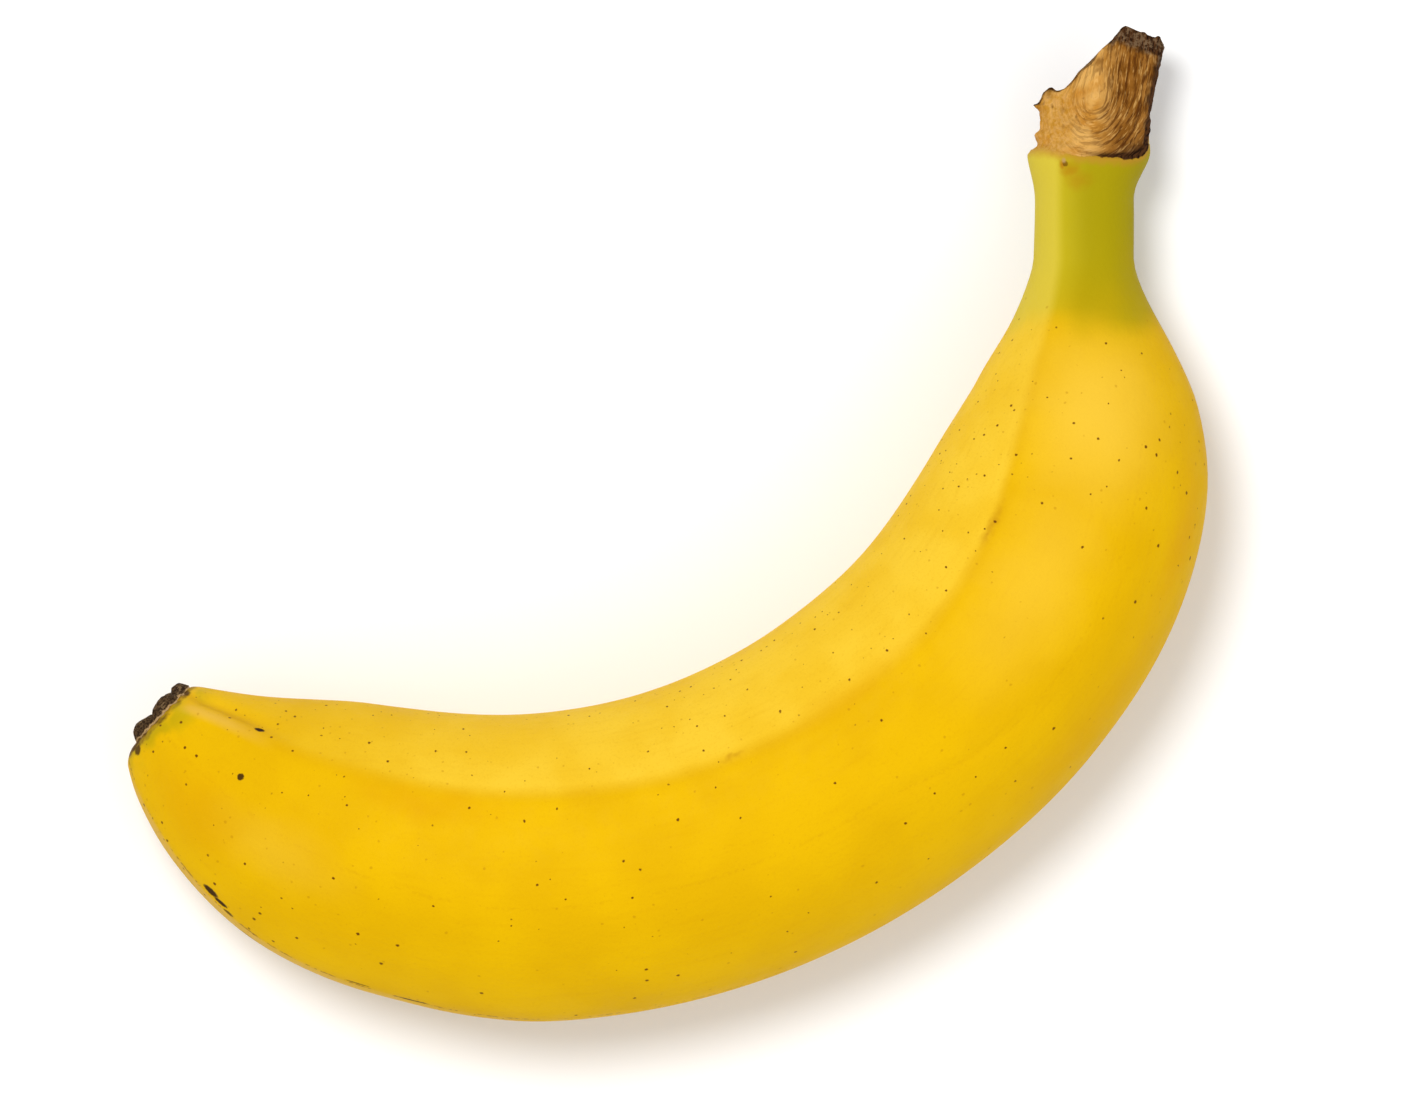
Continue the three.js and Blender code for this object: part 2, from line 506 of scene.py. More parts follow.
def fibre_places(rings):
    """Crown places measured across the fibres, along them, and through the crown."""
    centre_ahead, centre_inward = FIBRE_CENTRE
    ahead = rings.station[:, None] - COLLAR_STATION + rings.ahead
    aside = rings.inward - centre_inward + FIBRE_LEAN * (ahead - centre_ahead)
    leaning = (FIBRE_TOP - centre_ahead) / (FIBRE_TOP - np.maximum(ahead, centre_ahead))
    aside = np.where(aside > 0, aside * leaning, aside)
    below = 0.75 * np.maximum(centre_ahead - ahead, 0)
    across = np.sqrt(aside**2 + below**2 + FIBRE_BEND**2) - FIBRE_BEND
    bearing = np.arctan2(below, -aside)
    along = across * bearing + np.maximum(ahead - centre_ahead, 0)
    return np.stack([across, FIBRE_STRETCH * along, FIBRE_THROUGH * rings.up], axis=-1)


def angles(rings):
    return np.broadcast_to(np.degrees(turn_angles()) % 360, rings.inward.shape)


def ridge_gap(rings, index):
    """Distance round the fruit from a ridge in mm, positive past it."""
    ridge = eased(RIDGES[index], rings.station[:, None])
    turn = (angles(rings) - ridge + 180) % 360 - 180
    return np.radians(turn) * np.hypot(rings.inward, rings.up)


def past_skin_end(rings):
    """Distance ahead of the line where the skin ends at the collar."""
    return rings.station[:, None] + rings.ahead - COLLAR_STATION + eased(SKIN_END, angles(rings), 12)


def crown_places(rings):
    """How far across the crown and how far up to its torn edge each point is, from 0 to 1."""
    low = rings.inward.min(axis=1, keepdims=True)
    high = rings.inward.max(axis=1, keepdims=True)
    across = (high - rings.inward) / (high - low)
    return across, rings.ahead / eased(TORN_EDGE, across, TORN_EDGE_EASE)


NUB_PLACE = (175.7, 1.9, 6.6)  # a small dried bump under the collar, in the straight fruit


# ---------- fine relief ----------
def skin_relief(rings, straight):
    """Soft unevenness, a groove beside the near ridge by the tip, a faint crease and the nub."""
    station = rings.station[:, None]
    soft = 0.2 * field(straight * (0.5, 1, 1), 14)
    soft = soft + 0.04 * field(straight * (0.4, 1, 1), 3.5, 1, 9.0)
    near = ridge_gap(rings, NEAR_RIDGE)
    by_tip = window(0.3, 3, 9, 17, station)
    groove = (0.2 * bump(near, 0.9, 0.9) - 0.55 * bump(near, -1.5, 1.2)) * by_tip
    crease = -0.1 * bump(ridge_gap(rings, FAINT_RIDGE), 0, 0.6) * window(88, 95, 106, 113, station)
    nub = 0.35 * bump(np.linalg.norm(straight - NUB_PLACE, axis=-1), 0, 0.8)
    return soft * smoothstep(0, 6, station) + groove + crease + nub


def crown_relief(rings, straight, fibres):
    """Fibres and lumps, and a step back from the skin with a groove at its foot."""
    strands = 0.12 * field(fibres, 0.42, 2) + 0.16 * field(fibres, 1.3, 1, 5.0)
    lumps = 0.22 * field(straight, 2.4, 2, 2.0) + 0.1 * field(straight, 0.8, 2, 6.0)
    across, _ = crown_places(rings)
    past_end = past_skin_end(rings)
    flush = 1 - smoothstep(0.88, 0.97, across)
    foot = 0.3 * bump(past_end, 0.3, 0.3) * smoothstep(0.35, 0.7, across) * flush
    step = 0.25 * smoothstep(-0.1, 0.4, past_end) * flush
    return (strands + lumps) * smoothstep(0, 0.8, past_end) - step - foot


def relief(rings, straight, fibres):
    """How far each point stands out of the smooth form, in mm."""
    crust = 0.16 * field(straight, 1.4, 2) + 0.06 * field(straight, 0.5, 2, 4.0)
    skin = skin_relief(rings, straight)
    crown = crown_relief(rings, straight, fibres)
    near_collar = smoothstep(-2.2, -2.0, rings.station[:, None] + rings.ahead - COLLAR_STATION)
    return np.where(rings.part == CRUST, crust, skin + crown * near_collar)


# ---------- layers for the colours, on the mesh's points ----------
def inner_facet(rings):
    """1 on the facet that faces the inside of the bend, between the last ridge and the first."""
    edge = along_points(FACET_EDGE, rings.station[:, None])
    past_far = smoothstep(-edge, edge, ridge_gap(rings, FAR_RIDGE))
    before_near = 1 - smoothstep(-edge, edge, ridge_gap(rings, NEAR_RIDGE))
    turned = (angles(rings) + 180) % 360 - 180
    facet = np.where(turned > 0, before_near, past_far) * (np.abs(turned) < 110)
    return facet * lerp(0.15, 1, smoothstep(4, 50, rings.station[:, None]))


def green_parts(rings, straight):
    """1 where the skin is still green: on the neck, and in patches round the tip."""
    wander = field(straight, 7, 2, 3.0)
    station = rings.station[:, None]
    faded = smoothstep(148, 168, station + 3 * wander)
    neck = lerp(faded, smoothstep(153.5, 157.5, station + 1.5 * wander), 0.6)
    patchy = smoothstep(-0.35, 0.3, field(straight, 2.6, 2, 11.0))
    tip = patchy * (1 - smoothstep(0.8, 3.6, station + 1.2 * wander))
    return np.maximum(neck, 0.6 * tip)


def bark_parts(rings, straight):
    """How dark and barky the crown is: along its outer side and on top, with painted shade at its
    foot, in its low outer corner and on its underside.
    """
    across, height = crown_places(rings)
    ragged = 0.06 * field(straight, 2.0, 3, 7.0)
    past_end = past_skin_end(rings)
    rim = smoothstep(0.94, 0.985, across + 0.4 * ragged)
    top = smoothstep(0.82, 0.89, height + ragged) * smoothstep(0.54, 0.62, across + ragged)
    inner_top = 0.7 * smoothstep(0.9, 0.97, height + ragged) * (1 - smoothstep(0.1, 0.2, across))
    # Painted shade in the groove at the crown's foot, from the middle outwards.
    foot = bump(past_end, 0.3, 0.4) * smoothstep(0.34, 0.7, across)
    by_edge = smoothstep(0.955, 0.985, height + 0.6 * ragged)
    edge = 0.7 * by_edge * smoothstep(-0.5, 1.5, rings.up)
    # Painted shade: the outer side is very dark low down, in the corner by the collar.
    low = 1 - smoothstep(0.5, 2.8, past_end + 4 * ragged)
    corner = smoothstep(0.62, 0.9, across + ragged) * low
    # Painted shade: the crown is browner towards its underside.
    behind = 0.6 * smoothstep(1.5, -3.5, rings.up + 12 * ragged)
    bark = np.clip(rim + top + inner_top + edge + foot + corner + behind, 0, 1)
    # The torn face takes the painted underside shade low down and the dark edge higher up.
    shared = lerp(behind, edge, smoothstep(-1, 3, rings.up))
    torn = np.clip(0.3 + 0.7 * shared + 0.9 * top + 2 * ragged, 0.1, 0.9)
    return np.where(rings.part == TORN, torn, bark)


def speck_density(rings):
    """How many specks the skin has: most near the tip and where the body runs into the neck."""
    station = rings.station[:, None]
    by_tip = 1 - smoothstep(8, 45, station)
    by_neck = window(126, 138, 152, 160, station)
    low = bump(ridge_gap(rings, LOW_RIDGE), 0, 0.7) * (1 - smoothstep(45, 75, station))
    near = bump(ridge_gap(rings, NEAR_RIDGE), 0, 0.8) * by_neck
    inside = inner_facet(rings) * 0.35
    density = np.clip(0.25 + 0.75 * by_tip + 0.4 * by_neck + 1.2 * low + near + inside, 0, 1)
    return density * (1 - smoothstep(156, 161, station))


def colour_layers(rings, straight, fibres):
    """What the material reads from the mesh's points, by name."""
    across, height = crown_places(rings)
    return {
        "straight": straight,
        "fibres": fibres,
        "past_end": past_skin_end(rings),
        "inner": inner_facet(rings),
        "green": green_parts(rings, straight),
        "bark": bark_parts(rings, straight),
        "dark_side": smoothstep(0.46, 0.7, across + 0.06 * field(straight, 3, 2, 1.0)),
        "grainy": (1 - smoothstep(0.2, 0.36, across)) * (1 - smoothstep(0.85, 1.1, height)),
        "specks": speck_density(rings),
        "near_gap": ridge_gap(rings, NEAR_RIDGE),
        "low_gap": ridge_gap(rings, LOW_RIDGE),
        "far_gap": ridge_gap(rings, FAR_RIDGE),
        "faint_gap": ridge_gap(rings, FAINT_RIDGE),
    }


# ---------- the mesh ----------
def texture_places(rings):
    """A share from 0 to 1 for each ring, with more of the map for the tip and the crown."""
    lengths = np.linalg.norm(np.diff(place(rings).mean(axis=1), axis=0), axis=-1)
    part = rings.part[1:, 0]
    weight = np.select([part == CRUST, part == SKIN], [2.5, 1.0], 2.2)
    steps = np.maximum(lengths, 0.08) * weight
    place_along = np.concatenate([[0], np.cumsum(steps)]) / steps.sum()
    return lerp(0.01, 0.99, place_along)


def with_end_points(values):
    """Each ring's values in one list, and then the middles of the first and the last ring."""
    ends = np.stack([values[0].mean(axis=0), values[-1].mean(axis=0)])
    return np.concatenate([values.reshape(-1, *values.shape[2:]), ends])


def add_layer(mesh, name, values):
    kind, key = ("FLOAT_VECTOR", "vector") if values.ndim == 3 else ("FLOAT", "value")
    data = with_end_points(values).astype(np.float32)
    mesh.attributes.new(name, kind, "POINT").data.foreach_set(key, data.ravel())


def faces_and_places(along):
    """Faces that join the rings, with a fan at both ends, and each corner's place on the map."""
    rows = len(along)
    tip_end, crown_end = rows * AROUND, rows * AROUND + 1
    last = (rows - 1) * AROUND
    faces = []
    places = []
    for i in range(AROUND):
        following = (i + 1) % AROUND
        left, right = i / AROUND, (i + 1) / AROUND
        middle = (left + right) / 2
        faces.append((tip_end, following, i))
        places += [(middle, 0), (right, along[0]), (left, along[0])]
        for row in range(rows - 1):
            low, high = row * AROUND, (row + 1) * AROUND
            faces.append((low + i, low + following, high + following, high + i))
            places += [(left, along[row]), (right, along[row])]
            places += [(right, along[row + 1]), (left, along[row + 1])]
        faces.append((crown_end, last + i, last + following))
        places += [(middle, 1), (left, along[-1]), (right, along[-1])]
    return faces, places


def build_mesh(points, layers, along):
    faces, places = faces_and_places(along)
    mesh = bpy.data.meshes.new("banana_skin")
    mesh.from_pydata((with_end_points(points) * MM).tolist(), [], faces)
    mesh.uv_layers.new(name="OFBake").data.foreach_set("uv", np.array(places).ravel())
    for name, values in layers.items():
        add_layer(mesh, name, values)
    mesh.polygons.foreach_set("use_smooth", [True] * len(faces))
    mesh.update()
    return mesh


def make_fruit():
    """The fruit as one object, with its middle over the frame's middle."""
    rings = joined([crust_rings(), skin_rings(), crown_rings(), torn_rings()])
    straight = straight_places(rings)
    fibres = fibre_places(rings)
    points = place(rings)
    points = points + surface_normals(points) * relief(rings, straight, fibres)[..., None]
    points[..., 2] = np.maximum(points[..., 2], 0)
    middle = (points.min(axis=(0, 1)) + points.max(axis=(0, 1))) / 2
    cad_middle = (CAD_LOW + CAD_HIGH) / 2 / MM
    points += (cad_middle.x - middle[0], cad_middle.y - middle[1], CAD_LOW.z / MM)
    mesh = build_mesh(points, colour_layers(rings, straight, fibres), texture_places(rings))
    fruit = bpy.data.objects.new("banana_fruit", mesh)
    bpy.context.scene.collection.objects.link(fruit)
    return fruit


# ---------- materials ----------
def colour(red, green, blue):
    """A linear colour from the 0 to 255 values that a screen shows."""
    shares = [value / 255 for value in (red, green, blue)]
    linear = [((s + 0.055) / 1.055) ** 2.4 if s > 0.04 else s / 12.92 for s in shares]
    return (*linear, 1)


class Graph:
    """A short way to write a material's nodes: each call adds one node and returns its output."""

    def __init__(self, name):
        self.material = bpy.data.materials.new(name)
        self.material.use_nodes = True
        self.tree = self.material.node_tree
        self.shader = self.tree.nodes["Principled BSDF"]

    def feed(self, socket, value):
        if isinstance(value, bpy.types.NodeSocket):
            self.tree.links.new(value, socket)
        else:
            socket.default_value = value

    def add(self, kind, inputs, **settings):
        node = self.tree.nodes.new(kind)
        for name, value in settings.items():
            setattr(node, name, value)
        for key, value in inputs.items():
            self.feed(node.inputs[key], value)
        return node

    def layer(self, name):
        return self.add("ShaderNodeAttribute", {}, attribute_name=name).outputs["Fac"]

    def places(self, name):
        return self.add("ShaderNodeAttribute", {}, attribute_name=name).outputs["Vector"]

    def math(self, operation, a, b=0.0):
        return self.add("ShaderNodeMath", {0: a, 1: b}, operation=operation).outputs[0]

    def times(self, *values):
        product = values[0]
        for value in values[1:]:
            product = self.math("MULTIPLY", product, value)
        return product

    def vector(self, operation, a, b):
        key = "Value" if operation in ("LENGTH", "DISTANCE") else "Vector"
        return self.add("ShaderNodeVectorMath", {0: a, 1: b}, operation=operation).outputs[key]

    def parts(self, vector):
        return self.add("ShaderNodeSeparateXYZ", {0: vector}).outputs

    def noise(self, places, scale, detail=2.0, roughness=0.5):
        inputs = {"Vector": places, "Scale": scale, "Detail": detail, "Roughness": roughness}
        return self.add("ShaderNodeTexNoise", inputs).outputs["Fac"]

    def cells(self, places, scale):
        return self.add("ShaderNodeTexVoronoi", {"Vector": places, "Scale": scale}).outputs

    def ease(self, value, low, high, to_low=0.0, to_high=1.0):
        limits = {"From Min": low, "From Max": high, "To Min": to_low, "To Max": to_high}
        inputs = {"Value": value, **limits}
        node = self.add("ShaderNodeMapRange", inputs, interpolation_type="SMOOTHSTEP")
        return node.outputs["Result"]

    def stripe(self, gap, middle, half_width):
        """1 where gap is near middle, fading to 0 at half_width to both sides."""
        away = self.math("ABSOLUTE", self.math("SUBTRACT", gap, middle))
        return self.ease(away, 0.0, half_width, 1.0, 0.0)

    def mix(self, factor, a, b):
        node = self.add("ShaderNodeMix", {0: factor, 6: a, 7: b}, data_type="RGBA")
        return node.outputs[2]

    def blend(self, factor, a, b):
        return self.add("ShaderNodeMix", {0: factor, 2: a, 3: b}, data_type="FLOAT").outputs[0]


# Blemishes at fixed places: station and angle, half length and half width in mm, darkness.
BLEMISHES = (
    (11.0, 57.8, 0.75, 0.5, 1.0),
    (12.5, 89, 0.46, 0.44, 0.9),
    (0.8, 135.5, 0.6, 0.6, 0.8),
    (16.2, 150.8, 1.1, 0.5, 0.95),
    (17.6, 152.2, 1.2, 0.34, 0.95),
    (18.8, 154, 0.7, 0.3, 0.7),
    (21.6, 167, 3.4, 0.3, 0.5),
    (33.0, 158.2, 1.4, 0.16, 0.6),
    (38.6, 160, 3.6, 0.2, 0.85),
    (21.0, 357, 2.6, 0.25, 0.5),
    (175.3, 68.5, 0.34, 0.36, 0.45),
    (62.0, 290, 0.5, 0.4, 0.9),
    (104.0, 205, 0.6, 0.35, 0.8),
    (84.0, 332, 0.45, 0.4, 0.9),
    (128.0, 250, 1.6, 0.25, 0.7),
)
# The nub's pale spot is its grey dried tissue with a painted highlight on its top.
NUB_GREY_AND_HIGHLIGHT = (175.75, 67, 0.4, 0.34, 0.75)  # the pale spot on the nub under the collar
# Paler patches (the one on the shoulder is a painted sheen), deeper yellow patches that are painted
# shade, and soft brown stains, given in the same way.
PALE_PATCHES_AND_SHEEN = (
    (145, 98, 15, 11, 0.8),
    (124, 94, 18, 8, 0.4),
    (20, 110, 12, 5, 0.25),
    (70, 330, 20, 8, 0.3),
)
# Painted shade in deeper yellow: below the near ridge, along the band where the side turns away from
# the light, and on the tip's side.
PAINTED_SHADE_PATCHES = (
    (36, 72, 16, 2.6, 0.6),
    (133.5, 149, 9, 3.6, 0.6),
    (116, 150, 14, 5, 0.3),
    (96, 70, 12, 2.2, 0.3),
    (10, 118, 10, 7, 0.6),
)
STAINS = (
    (127.5, 70, 4.5, 0.8, 0.4),
    (125.8, 70.3, 1.3, 0.5, 0.5),
    (78.6, 69, 2.2, 0.6, 0.4),
    (175.3, 68, 0.9, 1.0, 0.85),
    (174.5, 75, 1.4, 1.5, 0.6),
    (173.2, 83, 1.7, 2.0, 0.35),
    (150.0, 300, 7.0, 3.0, 0.3),
    (60.0, 262, 5.0, 2.0, 0.3),
)


def blemish_place(station, angle):
    """A blemish's middle in the straight fruit."""
    inward, up = skin_sections(np.array([float(station)]))
    turned = (math.radians(angle) - turn_angles()) % math.tau
    nearest = int(np.argmin(np.minimum(turned, math.tau - turned)))
    return (station, inward[0, nearest], up[0, nearest])


def spot_mask(graph, places, spots, full):
    """Spots given as (middle, half sizes, darkness): dark out to the share `full` of their size."""
    total = 0.0
    for middle, half_sizes, darkness in spots:
        offset = graph.vector("SUBTRACT", places, middle)
        scaled = graph.vector("DIVIDE", offset, half_sizes)
        size = graph.vector("LENGTH", scaled, (0, 0, 0))
        spot = graph.ease(size, full, 1.2, darkness, 0.0)
        total = graph.math("MAXIMUM", spot, total)
    return total


def blemish_mask(graph, places, blemishes, full):
    """The same for blemishes of the skin, which are given by station and angle."""
    spots = [
        (blemish_place(station, angle), (length, width, width), darkness)
        for station, angle, length, width, darkness in blemishes
    ]
    return spot_mask(graph, places, spots, full)


def wobbled_places(graph, straight, size, amount):
    """The places, each moved a little, so that what is drawn there gets a ragged outline."""
    inputs = {"Vector": straight, "Scale": 1 / size, "Detail": 2.0}
    moved = graph.add("ShaderNodeTexNoise", inputs).outputs["Color"]
    centred = graph.vector("SUBTRACT", moved, (0.5, 0.5, 0.5))
    moves = graph.vector("MULTIPLY", centred, (amount, amount, amount))
    return graph.vector("ADD", straight, moves)


def speck_mask(graph, places, spacing, radius, share):
    """Small ragged specks of different sizes, in a share of the cells of a random pattern."""
    cells = graph.cells(places, 1 / spacing)
    luck, size, _ = graph.parts(cells["Color"])
    wanted = graph.math("MULTIPLY", graph.layer("specks"), share)
    chosen = graph.math("LESS_THAN", luck, wanted)
    reach = graph.ease(size, 0.0, 1.0, 0.45 * radius / spacing, radius / spacing)
    spot = graph.ease(graph.math("DIVIDE", cells["Distance"], reach), 0.55, 1.1, 1.0, 0.0)
    return graph.times(spot, chosen)


def peel_colour(graph, straight):
    """Yellow with soft patches, streaks and green ends; the inner facet gets a lighter copy as
    painted light, and the green neck's side facet and the groove by the tip get painted shade.
    """
    inner = graph.layer("inner")
    patches = graph.ease(graph.noise(straight, 0.1, 2.0), 0.32, 0.68)
    streaks = graph.noise(graph.vector("MULTIPLY", straight, (0.1, 1, 1)), 1.1, 3.0)
    grain = graph.noise(straight, 2.8, 3.0)
    # Painted light: `light` is a lighter copy of the yellow for the inner facet, and `side` is the
    # plainer copy for the other facets.
    side = graph.mix(patches, colour(211, 164, 0), colour(217, 171, 0))
    light = graph.mix(patches, colour(223, 179, 34), colour(228, 187, 46))
    yellow = graph.mix(inner, side, light)
    yellow = graph.mix(graph.ease(streaks, 0.5, 0.8, 0.0, 0.14), yellow, colour(200, 146, 0))
    yellow = graph.mix(graph.ease(grain, 0.5, 0.78, 0.0, 0.2), yellow, colour(196, 144, 4))
    # Painted shade on the green neck: its side facet is darker green, less so near the near ridge,
    # and its inner facet gets a lighter green as painted light.
    by_ridge = graph.times(graph.stripe(graph.layer("near_gap"), 0.0, 3.5), 0.55)
    painted_shade_green = graph.mix(by_ridge, colour(156, 141, 8), colour(190, 172, 30))
    ripe_green = graph.mix(inner, painted_shade_green, colour(200, 181, 56))
    yellow = graph.mix(graph.layer("green"), yellow, ripe_green)
    station, _, _ = graph.parts(straight)
    by_tip = graph.ease(station, 6.0, 15.0, 0.4, 0.0)
    shaded = graph.times(graph.stripe(graph.layer("near_gap"), -1.2, 1.3), by_tip)
    yellow = graph.mix(shaded, yellow, colour(182, 132, 8))
    # A painted highlight on the near ridge's crest by the tip, and the pale strip past the low ridge.
    return graph.mix(crest_highlight_and_pale_strip(graph, straight), yellow, colour(214, 172, 70))


def crest_highlight_and_pale_strip(graph, straight):
    """A painted highlight along the crest of the near ridge by the tip, and the pale strip past the
    low ridge.
    """
    station, _, _ = graph.parts(straight)
    crest = graph.times(
        graph.stripe(graph.layer("near_gap"), 0.8, 1.2),
        graph.ease(station, 0.5, 2.5),
        graph.ease(station, 5.0, 15.0, 1.0, 0.0),
    )
    strip = graph.times(
        graph.ease(graph.layer("low_gap"), -0.1, 0.5),
        graph.ease(graph.layer("low_gap"), 1.5, 6.0, 1.0, 0.0),
        graph.ease(station, 22.0, 55.0, 1.0, 0.0),
        graph.ease(station, 1.0, 6.0),
    )
    return graph.math("MAXIMUM", graph.times(crest, 0.7), graph.times(strip, 0.65))


def worn_ridges(graph, straight, skin):
    """Brown rubbed stretches along the ridges that stand out most."""
    station, _, _ = graph.parts(straight)
    on_body = graph.ease(station, 148.0, 158.0, 1.0, 0.0)
    worn = graph.math("MULTIPLY", graph.noise(straight, 0.35, 3.0), on_body)
    fine = graph.ease(graph.noise(straight, 2.2, 3.0), 0.4, 0.62)
    ragged = graph.ease(graph.math("MULTIPLY", worn, graph.blend(0.4, 1.0, fine)), 0.36, 0.5)
    near = graph.times(graph.stripe(graph.layer("near_gap"), 0.3, 1.6), worn, 0.3)
    by_tip = graph.ease(station, 45.0, 85.0, 0.75, 0.3)
    low = graph.times(graph.stripe(graph.layer("low_gap"), 0.1, 0.32), ragged, by_tip)
    far = graph.times(graph.stripe(graph.layer("far_gap"), 0.0, 0.5), ragged, 0.5)
    skin = graph.mix(near, skin, colour(190, 136, 4))
    skin = graph.mix(graph.math("MAXIMUM", low, far), skin, colour(124, 76, 20))
    faint = graph.times(graph.stripe(graph.layer("faint_gap"), 0.0, 0.35), ragged, 0.12)
    return graph.mix(faint, skin, colour(176, 118, 4))


def skin_colour(graph, straight, blemishes):
    """The peel with its patches, stains, specks and blemishes, in that order."""
    skin = worn_ridges(graph, straight, peel_colour(graph, straight))
    not_green = graph.math("SUBTRACT", 1.0, graph.layer("green"))
    # Paler patches; the one on the shoulder is a painted sheen.
    pale = blemish_mask(graph, wobbled_places(graph, straight, 6.0, 4.0), PALE_PATCHES_AND_SHEEN, 0.0)
    skin = graph.mix(graph.times(pale, not_green), skin, colour(226, 184, 56))
    # Painted shade: the deeper yellow patches.
    painted_shade = blemish_mask(graph, wobbled_places(graph, straight, 6.0, 4.0), PAINTED_SHADE_PATCHES, 0.0)
    skin = graph.mix(painted_shade, skin, colour(208, 152, 0))
    stains = blemish_mask(graph, wobbled_places(graph, straight, 1.5, 1.6), STAINS, 0.0)
    skin = graph.mix(stains, skin, colour(164, 104, 10))
    ragged = wobbled_places(graph, straight, 0.25, 0.22)
    other = graph.vector("ADD", ragged, (31.0, 7.0, 3.0))
    faint = graph.times(speck_mask(graph, other, 1.2, 0.22, 0.7), 0.35)
    specks = graph.times(speck_mask(graph, ragged, 1.5, 0.24, 0.9), 0.95)
    skin = graph.mix(faint, skin, colour(160, 104, 4))
    skin = graph.mix(specks, skin, colour(98, 50, 6))
    halo = graph.ease(blemishes, 0.0, 0.5)
    skin = graph.mix(graph.times(halo, 0.5), skin, colour(140, 88, 8))
    skin = graph.mix(blemishes, skin, colour(46, 24, 8))
    # The nub's grey tissue, with a painted highlight on its top.
    nub = blemish_mask(graph, straight, (NUB_GREY_AND_HIGHLIGHT,), 0.2)
    return graph.mix(nub, skin, colour(176, 150, 112))


# Dark spots on the crown: how far ahead of the collar and inward, half size, darkness.
CROWN_SPOTS = (
    (6.6, 3.9, 0.9, 0.8),
    (5.1, 3.6, 0.4, 0.9),
    (3.9, 0.8, 0.24, 0.5),
    (4.6, 2.2, 0.5, 0.4),
    (2.6, 2.4, 0.3, 0.35),
)
CROWN_HALF_DEPTH = 6


def crown_spots(graph, straight):
    spots = [
        ((COLLAR_STATION + ahead, inward, CROWN_HALF_DEPTH), (size, size, CROWN_HALF_DEPTH), darkness)
        for ahead, inward, size, darkness in CROWN_SPOTS
    ]
    return spot_mask(graph, wobbled_places(graph, straight, 0.7, 0.6), spots, 0.3)


def crown_colour(graph, straight, fibres):
    """Tan, torn fibre that is pale where it is hollow, with dark bark round it."""
    strands = graph.noise(fibres, 3.4, 3.0, 0.6)
    threads = graph.noise(graph.vector("ADD", fibres, (9.0, 5.0, 2.0)), 5.0, 2.0, 0.6)
    patches = graph.ease(graph.noise(straight, 0.4, 2.0), 0.35, 0.65)
    grain = graph.noise(straight, 1.5, 4.0, 0.65)
    dark_side = graph.layer("dark_side")
    pale = graph.mix(patches, colour(188, 130, 50), colour(212, 162, 86))
    brown = graph.mix(patches, colour(112, 66, 16), colour(142, 90, 30))
    base = graph.mix(graph.times(dark_side, 0.85), pale, brown)
    lines = graph.times(graph.ease(strands, 0.46, 0.6), graph.blend(dark_side, 0.38, 0.9))
    base = graph.mix(lines, base, colour(86, 46, 10))
    base = graph.mix(graph.ease(threads, 0.54, 0.68, 0.0, 0.6), base, colour(216, 168, 96))
    grainy = graph.mix(graph.ease(grain, 0.35, 0.65), colour(184, 130, 36), colour(208, 158, 86))
    base = graph.mix(graph.times(graph.layer("grainy"), 0.75), base, grainy)
    base = graph.mix(graph.ease(grain, 0.6, 0.74, 0.0, 0.5), base, colour(110, 66, 20))
    base = graph.mix(crown_spots(graph, straight), base, colour(84, 48, 14))
    bark = graph.mix(graph.ease(threads, 0.4, 0.6), colour(30, 14, 6), colour(78, 48, 24))
    station, _, _ = graph.parts(straight)
    on_top = graph.ease(station, COLLAR_STATION + 8, COLLAR_STATION + 11)
    grey = graph.times(graph.ease(grain, 0.45, 0.6, 0.0, 0.85), on_top)
    bark = graph.mix(grey, bark, colour(116, 92, 66))
    return graph.mix(graph.layer("bark"), base, bark)


def crust_colour(graph, straight):
    """Dark brown, with greyer high spots."""
    grain = graph.noise(straight, 3.0, 4.0, 0.6)
    coarse = graph.noise(straight, 0.9, 2.0)
    dark = graph.mix(graph.ease(grain, 0.4, 0.6), colour(40, 26, 16), colour(84, 64, 42))
    high_spots = graph.ease(graph.math("ADD", grain, coarse), 1.08, 1.22)
    return graph.mix(high_spots, dark, colour(112, 90, 62))


def tip_parts(graph, straight, skin):
    """The crust, the thin pale line round its rim, and a painted shadow in brown on the skin under
    the crust's lip.
    """
    station, _, _ = graph.parts(straight)
    wiggle = graph.ease(graph.noise(straight, 0.9, 3.0), 0.3, 0.7, -0.16, 0.16)
    past_rim = graph.math("ADD", station, wiggle)
    patches = graph.ease(graph.noise(straight, 0.5, 2.0), 0.36, 0.6, 0.45, 1.0)
    # Painted shadow under the crust's lip.
    painted_lip_shadow = graph.times(graph.ease(past_rim, 0.35, 0.85, 1.0, 0.0), patches)
    skin = graph.mix(painted_lip_shadow, skin, colour(84, 56, 14))
    crust = crust_colour(graph, straight)
    rim_line = graph.times(graph.stripe(past_rim, -0.06, 0.2), 0.9)
    crust = graph.mix(rim_line, crust, colour(190, 154, 104))
    return graph.mix(graph.ease(past_rim, 0.05, 0.12, 1.0, 0.0), skin, crust)


PEEL_SPECULAR = 0.03
DRY_ROUGHNESS = 0.85
BUMP_STRENGTH = 0.7


